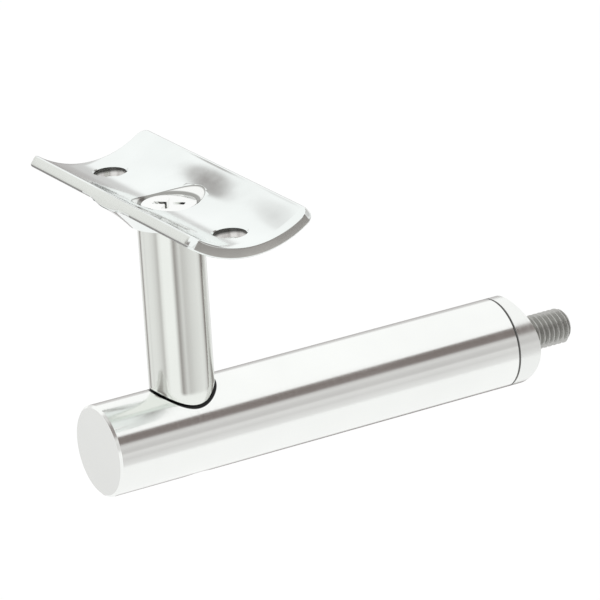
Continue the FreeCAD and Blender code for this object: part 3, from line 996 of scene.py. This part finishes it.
# %% [markdown]
# The ring and the arm meet in a fine V-shaped seam. Its two small chamfers hold a little dirt and
# see only each other, so they are dark all the way round.

# %% Seam between the arm and the ring
def on_seam(centre):
    """Whether a face, given by its middle, lies on a chamfer of the seam beside the ring."""
    radius = math.hypot(centre.y, centre.z)
    from_seam = abs(centre.x - ring_low.x)
    return from_seam < SEAM_CHAMFER and ARM_RADIUS - SEAM_CHAMFER < radius < ARM_RADIUS - MERGE


for piece in (arm, ring):
    add_second_finish(piece, seam_steel, on_seam)

# %% [markdown]
# Polished steel has no colour of its own to show: it looks like the room around it. So the studio
# is part of the finish. The floor and the world are plain white to the camera and in reflections,
# and a softer white where they only light the bracket.

# %% Studio
FLOOR_DROP = 1.2
FLOOR_SIZE = 14
FLOOR_GREY = 0.85
FLOOR_ROUGHNESS = 0.9
FLOOR_GLOW_SHARE = 0.85
FLOOR_GLOW = 1.1
WORLD_LIGHT = 0.6
WORLD_SEEN = 1.05
WHITE = (1, 1, 1, 1)


def seen_rays(tree):
    """A mask that is 1 for what the camera, mirrors and glass see, and 0 for lighting."""
    path = add_node(tree, "LightPath")
    seen = path.outputs["Is Camera Ray"]
    for ray in ("Is Glossy Ray", "Is Transmission Ray"):
        seen = calculate(tree, "MAXIMUM", seen, path.outputs[ray])
    return seen


def make_world():
    """A white room: bright where it is seen, and dimmer where it only lights."""
    world = bpy.data.worlds.new("studio")
    scene.world = world
    world.use_nodes = True
    tree = world.node_tree
    level = add_node(tree, "MapRange", {
        "Value": seen_rays(tree),
        "To Min": WORLD_LIGHT,
        "To Max": WORLD_SEEN})
    feed(tree, tree.nodes["Background"], {"Color": WHITE, "Strength": level.outputs["Result"]})


def flat_square(half, drop):
    """A level square as a bmesh, some way below the arm."""
    mesh = bmesh.new()
    bmesh.ops.create_grid(mesh, x_segments=1, y_segments=1, size=half)
    bmesh.ops.translate(mesh, vec=(0, 0, -drop), verts=mesh.verts)
    return mesh


def make_floor():
    """A pale floor that keeps the shadow, and glows where the camera or a mirror sees it."""
    floor = as_object("floor", flat_square(FLOOR_SIZE / 2, FLOOR_DROP))
    material, tree = new_material("pale_floor")
    plain = tree.nodes["Principled BSDF"]
    feed(tree, plain, {
        "Base Color": (FLOOR_GREY, FLOOR_GREY, FLOOR_GREY, 1),
        "Roughness": FLOOR_ROUGHNESS,
        "Specular IOR Level": 0})
    glow = add_node(tree, "Emission", {"Color": WHITE, "Strength": FLOOR_GLOW})
    blend = add_node(tree, "MixShader", {
        "Fac": calculate(tree, "MULTIPLY", seen_rays(tree), FLOOR_GLOW_SHARE),
        1: plain.outputs["BSDF"],
        2: glow.outputs["Emission"]})
    feed(tree, tree.nodes["Material Output"], {"Surface": blend.outputs["Shader"]})
    dress(floor, material)
    print("floor:", FLOOR_SIZE, "m wide,", FLOOR_DROP, "m below the arm")


make_world()
make_floor()

# %% [markdown]
# One weak square lamp hangs overhead and gives the bracket a soft shadow. Mirrors don't see it,
# so that it leaves no square of its own on the steel.

# %% Lamp
LAMP_X = -0.05
LAMP_HEIGHT = 0.9
LAMP_POWER = 5


def hang_softbox(name, x, height, power):
    """A square area lamp as wide as it hangs high, which looks straight down."""
    data = bpy.data.lights.new(name, "AREA")
    data.shape = "SQUARE"
    data.size = height
    data.energy = power
    lamp = bpy.data.objects.new(name, data)
    scene.collection.objects.link(lamp)
    lamp.location = (x, 0, height)
    lamp.rotation_mode = "QUATERNION"
    lamp.rotation_quaternion = Vector((0, 0, -1)).to_track_quat("-Z", "Y")
    lamp.visible_glossy = False


hang_softbox("overhead_softbox", LAMP_X, LAMP_HEIGHT, LAMP_POWER)
print("lamp:", LAMP_POWER, "W,", LAMP_HEIGHT, "m above the arm")

# %% [markdown]
# The dark line along the arm is a reflection too. A photographer puts grey cards round the object
# for it, and here they are filters: each card takes light away from what a mirror sees behind it.
# The camera, the floor and the shadows don't see them. A card is a strip spun about the bracket.
# Its own UV map runs across and up, so that its material can fade towards the sides and hold any
# run of tones from bottom to top. The greys are faintly warm, as the photo's are.

# %% Filter materials
WARM = (0.965, 1.0, 1.01)


def value_ramp(tree, place, stops):
    """A ramp through faintly warm greys. A stop is a place from 0 to 1 and a level."""
    ramp = add_node(tree, "ValToRGB", {"Fac": place})
    elements = ramp.color_ramp.elements
    while len(elements) < len(stops):
        elements.new(0.5)
    for element, (position, level) in zip(elements, stops):
        element.position = position
        element.color = (*[1 - (1 - level) * depth for depth in WARM], 1)
    return ramp


def film(name, colour_from):
    """A see-through material. colour_from adds its colour's nodes, given the tree and the UV."""
    material, tree = new_material(name)
    tree.nodes.remove(tree.nodes["Principled BSDF"])
    chart = add_node(tree, "UVMap", uv_map="card")
    clear = add_node(tree, "BsdfTransparent", {"Color": colour_from(tree, chart.outputs["UV"])})
    feed(tree, tree.nodes["Material Output"], {"Surface": clear.outputs["BSDF"]})
    return material


def striped_film(name, tones, window, tones_run):
    """A film with tones along one side of its UV map and a window along the other."""
    tone_side, window_side = ("Y", "X") if tones_run == "up" else ("X", "Y")

    def colour_from(tree, place):
        sides = add_node(tree, "SeparateXYZ", {"Vector": place}).outputs
        light = value_ramp(tree, sides[tone_side], tones)
        open_part = value_ramp(tree, sides[window_side], window)
        mix = add_node(tree, "Mix", {
            "A": WHITE,
            "B": light.outputs["Color"],
            "Factor": open_part.outputs["Color"]}, data_type="RGBA")
        return mix.outputs["Result"]

    return film(name, colour_from)


def shares(stops):
    """Stops with their places turned into shares of the way from the first to the last."""
    first, last = stops[0][0], stops[-1][0]
    return [((place - first) / (last - first), level) for place, level in stops]


def only_in_mirrors(card):
    """Hide a card from everything but reflections."""
    for ray in ("camera", "diffuse", "shadow", "transmission"):
        setattr(card, f"visible_{ray}", False)
    print(card.name, "filters reflections")


# %% [markdown]
# The front card gives the arm its dark line and the soft grey below it. Its tones run from the
# floor up. Two all-round cards then shade what stands upright: their tones run round the bracket,
# so the post gets its own bright and dark lines, and from any side the steel stands out from the
# white room.

# %% Cards round the bracket
CARD_DISTANCE = 1.8
CARD_STEPS = 48
CARD_CENTRE = Vector((POST_X / 2, 0, 0))


def make_card(name, round_stops, up_stops, tones_run):
    """A curved filter round the bracket. Stops are (azimuth, value) and (elevation, value)."""
    up_stops = [(CARD_DISTANCE * math.tan(math.radians(elevation)), value)
                for elevation, value in up_stops]
    low, high = up_stops[0][0], up_stops[-1][0]
    begin, end = math.radians(round_stops[0][0]), math.radians(round_stops[-1][0])
    mesh = bmesh.new()
    start = CARD_CENTRE + direction(begin, 0) * CARD_DISTANCE
    ends = [mesh.verts.new(start + Vector((0, 0, height))) for height in (low, high)]
    edge = mesh.edges.new(ends)
    bmesh.ops.spin(mesh, geom=ends + [edge], cent=CARD_CENTRE, axis=AXES["z"],
                   angle=end - begin, steps=CARD_STEPS, use_merge=False)
    chart = mesh.loops.layers.uv.new("card")
    half_step = (end - begin) / CARD_STEPS / 2
    for face in mesh.faces:
        middle = face.calc_center_median() - CARD_CENTRE
        face_turn = (math.atan2(middle.x, -middle.y) - begin) % (2 * math.pi)
        for loop in face.loops:
            point = loop.vert.co - CARD_CENTRE
            side = direction(begin + face_turn, 0).cross(Vector((point.x, point.y, 0))).z
            turn = face_turn + math.copysign(half_step, side)
            loop[chart].uv = (turn / (end - begin), (point.z - low) / (high - low))
    card = as_object(name, mesh)
    tones, window = shares(up_stops), shares(round_stops)
    if tones_run == "round":
        tones, window = window, tones
    dress(card, striped_film(name, tones, window, tones_run))
    only_in_mirrors(card)


SIDE_TONES = [(-8, 1.0), (4, 0.75), (16, 0.8), (22, 0.6), (24, 0.3), (36, 0.28), (41, 1.0)]
make_card("front_card", [(1, 0), (14, 1), (52, 1), (65, 0)],
          [(-34, 1.0), (-27, 1.0), (-16, 0.92), (-5, 0.76), (5, 0.68), (14, 0.76), (22, 0.55),
           (24.5, 0.19), (36, 0.17), (40.5, 0.22), (41.5, 1.0)], "up")
make_card("low_surround",
          [(-180, 0.85), (-170, 0.5), (-163, 0.3), (-156, 0.8), (-148, 0.87), (-140, 0.8),
           (-128, 0.86), (-112, 0.84), (-98, 0.76), (-84, 0.58), (-76, 0.88), (-66, 1.0),
           (-38, 1.0), (-32, 0.75), (-25, 0.34), (-18, 0.5), (-9, 0.74), (1, 0.62), (20, 0.78),
           (34, 0.84), (56, 0.9), (70, 0.75), (84, 0.15), (96, 0.5), (112, 0.75), (130, 0.95),
           (180, 0.85)],
          [(-29, 0), (-24, 1), (-10, 1), (-2, 0)], "round")
make_card("high_surround", [(-180, 0.82), (180, 0.82)],
          [(0, 0), (3, 1), (13, 1), (17, 0)], "round")
make_card("right_card", [(60, 0), (72, 1), (116, 1), (126, 0)], SIDE_TONES, "up")
make_card("left_card", [(-132, 0), (-120, 1), (-72, 1), (-60, 0)], SIDE_TONES, "up")
make_card("far_card", [(136, 0), (143, 1), (157, 1), (164, 0)],
          [(-24, 1.0), (-20, 0.45), (0, 0.5), (5, 0.75), (12, 0.8), (16, 1.0)], "up")
make_card("far_low_card", [(125, 0), (135, 1), (200, 1), (212, 0)],
          [(-31, 0.3), (-28, 0.3), (-25, 1.0)], "up")

# %% [markdown]
# What hangs over the floor is mirrored by the undersides and by the lowest edge of each bar. Only
# its far corner is made darker, so the arm's lower outline gets a thin dark line, while the steel
# just above it and the hub's flare stay white.

# %% Card over the floor
FLOOR_CARD_DROP = 1.1
FLOOR_CARD_HALF = 1.8


def make_floor_card(name, along_stops, across_stops):
    """A flat filter just over the floor. Stops are (Y, level) and (X, strength)."""
    mesh = flat_square(FLOOR_CARD_HALF, FLOOR_CARD_DROP)
    chart = mesh.loops.layers.uv.new("card")
    for face in mesh.faces:
        for loop in face.loops:
            point = loop.vert.co / FLOOR_CARD_HALF
            loop[chart].uv = (point.x / 2 + 0.5, point.y / 2 + 0.5)
    card = as_object(name, mesh)
    dress(card, striped_film(name, shares(along_stops), shares(across_stops), "up"))
    only_in_mirrors(card)


make_floor_card("floor_card", [(-1.8, 1.0), (0.72, 1.0), (0.95, 0.35), (1.7, 0.3), (1.8, 1.0)],
                [(-1.8, 0), (0.55, 0), (0.75, 1), (1.8, 1)])

# %% [markdown]
# Two grey patches in the trough end along the rail, so what they mirror has to be close by. They
# are small soft cards, a hand's width behind the plate, one dark and one faint.

# %% Small cards near the trough
PATCH_DISTANCE = 100 * MM
PATCH_CORE = 0.55
PATCH_CORE_LIGHTER = 0.1


def soft_film(name, level):
    """A film that is darkest in the middle of its UV map and clear from a radius of 1 on."""
    def colour_from(tree, place):
        distance = add_node(tree, "VectorMath", {0: place}, operation="LENGTH")
        ramp = value_ramp(tree, distance.outputs["Value"], [
            (0.0, level),
            (PATCH_CORE, level + PATCH_CORE_LIGHTER),
            (1.0, 1.0)])
        ramp.color_ramp.interpolation = "EASE"
        return ramp.outputs["Color"]

    return film(name, colour_from)


def make_patch_card(name, point, azimuth, elevation, half, level):
    """A soft oval filter, mirrored by the trough at one point and in one direction."""
    toward = direction(math.radians(azimuth), math.radians(elevation))
    mesh = bmesh.new()
    bmesh.ops.create_grid(mesh, x_segments=1, y_segments=1, size=1, calc_uvs=False)
    chart = mesh.loops.layers.uv.new("card")
    for face in mesh.faces:
        for loop in face.loops:
            loop[chart].uv = loop.vert.co.xy
    bmesh.ops.scale(mesh, vec=(*half, 1), verts=mesh.verts)
    bmesh.ops.transform(mesh, verts=mesh.verts, matrix=(
        Matrix.Translation(Vector(point) + toward * PATCH_DISTANCE)
        @ toward.to_track_quat("Z", "Y").to_matrix().to_4x4()))
    card = as_object(name, mesh)
    dress(card, soft_film(name, level))
    only_in_mirrors(card)


make_patch_card("patch_card", (-0.0725, -0.0005, 0.0533), 179.5, 33.5, (0.017, 0.007), 0.34)
make_patch_card("faint_card", (-0.0728, -0.0272, 0.0532), 178.4, 34.6, (0.018, 0.006), 0.75)
